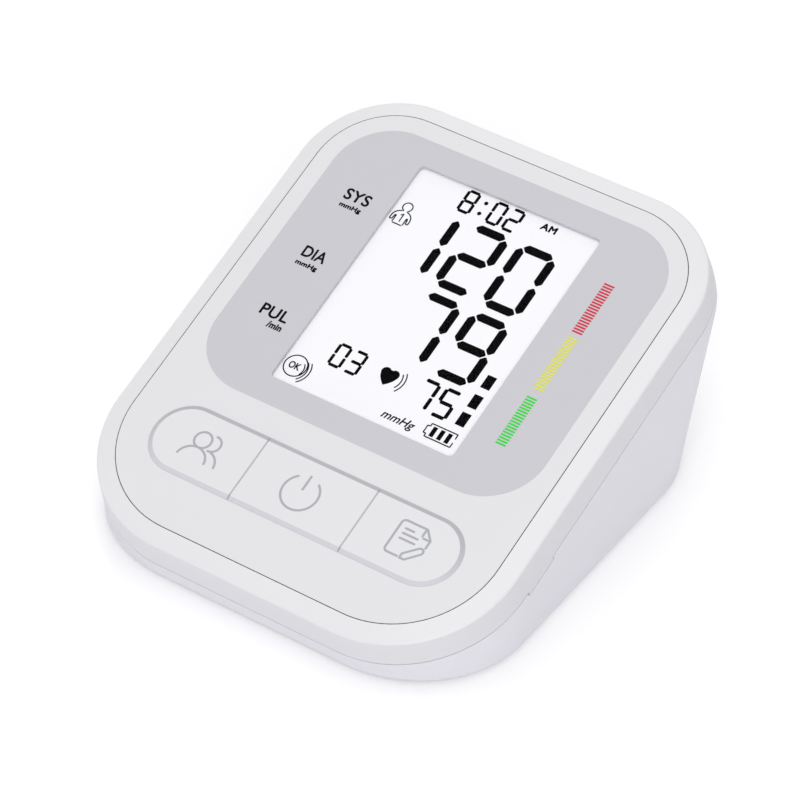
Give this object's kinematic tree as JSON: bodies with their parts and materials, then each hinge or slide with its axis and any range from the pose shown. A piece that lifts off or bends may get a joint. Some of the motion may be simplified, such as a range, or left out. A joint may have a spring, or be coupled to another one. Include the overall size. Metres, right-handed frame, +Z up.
{
  "type": "upper arm blood pressure monitor",
  "caption": "Desk-top upper arm blood pressure monitor: sloping display case with pressable keys, battery door and a socket for the cuff's air plug.",
  "frame": {"origin": "under the middle of the case, on the table that its feet stand on", "axes": "+X to the user's right, -Y towards the user (the low, key end), +Y to the high rear end, +Z up"},
  "size_m": [0.111, 0.1294, 0.0577],
  "materials": {
    "white_shell": "fine satin, white",
    "pale_grey_shell": "fine satin, very pale grey",
    "white_faceplate": "fine satin, white",
    "grey_panel": "smooth printed light grey",
    "clear_window": "clear acrylic",
    "lcd_glass": "backlit white liquid-crystal glass",
    "white_light_guide": "white light guide",
    "white_frame": "moulded white plastic",
    "elastomer": "striped conductive elastomer",
    "circuit_board": "green solder mask",
    "steel_screw": "zinc plated",
    "chip_black": "black moulded package",
    "capacitor_can": "aluminium can",
    "motor_can": "plated steel can",
    "pump_plastic": "black moulded plastic",
    "grey_socket": "grey moulded plastic",
    "clear_hose": "milky silicone hose",
    "nickel_contact": "nickel plated spring steel",
    "white_key": "fine satin, white",
    "switch_plastic": "black moulded plastic",
    "battery_wrap": "dark printed battery wrap",
    "steel_shell": "plated steel shell",
    "foot_rubber": "grey rubber"
  },
  "bodies": {
    "case": {"upper_housing": "white_shell", "lower_housing": "pale_grey_shell", "faceplate": "white_faceplate", "display_panel": "grey_panel", "display_window": "clear_window", "lcd_glass": "lcd_glass", "lcd_light_guide": "white_light_guide", "lcd_frame": "white_frame", "lcd_connector": "elastomer", "main_board": "circuit_board", "board_screws": "steel_screw", "controller_chip": "chip_black", "buzzer": "chip_black", "capacitors": "capacitor_can", "resistors": "chip_black", "pressure_sensor": "white_frame", "pump_motor": "motor_can", "pump_head": "pump_plastic", "pump_cradle": "foot_rubber", "release_valve": "motor_can", "air_manifold": "pump_plastic", "air_socket": "grey_socket", "socket_hose": "clear_hose", "pump_hose": "clear_hose", "sensor_hose": "clear_hose", "battery_contacts": "nickel_contact", "battery_springs": "nickel_contact", "usb_socket": "steel_shell", "usb_board": "circuit_board", "housing_screws": "steel_screw", "rubber_feet": "foot_rubber", "switch_body_user": "switch_plastic", "switch_body_power": "switch_plastic", "switch_body_record": "switch_plastic", "battery_cell_1": "battery_wrap", "battery_cell_2": "battery_wrap", "battery_cell_3": "battery_wrap", "battery_cell_4": "battery_wrap"},
    "user_key": {"key_user": "white_key", "switch_stem_user": "switch_plastic"},
    "power_key": {"key_power": "white_key", "switch_stem_power": "switch_plastic"},
    "record_key": {"key_record": "white_key", "switch_stem_record": "switch_plastic"},
    "battery_door": {"battery_door": "pale_grey_shell"}
  },
  "joints": [
    {"name": "user_key_press", "type": "slide", "parent": "case", "child": "user_key", "axis": [0, 0.3338, -0.9426], "range_m": [0, 0.0005], "stiffness_N_per_m": 1500},
    {"name": "power_key_press", "type": "slide", "parent": "case", "child": "power_key", "axis": [0, 0.3338, -0.9426], "range_m": [0, 0.0005], "stiffness_N_per_m": 1500},
    {"name": "record_key_press", "type": "slide", "parent": "case", "child": "record_key", "axis": [0, 0.3338, -0.9426], "range_m": [0, 0.0005], "stiffness_N_per_m": 1500},
    {"name": "battery_door_hinge", "type": "hinge", "parent": "case", "child": "battery_door", "pos_m": [-0.008, -0.00883, 0.0018], "axis": [-1, 0, 0], "range_deg": [0, 90]}
  ]
}
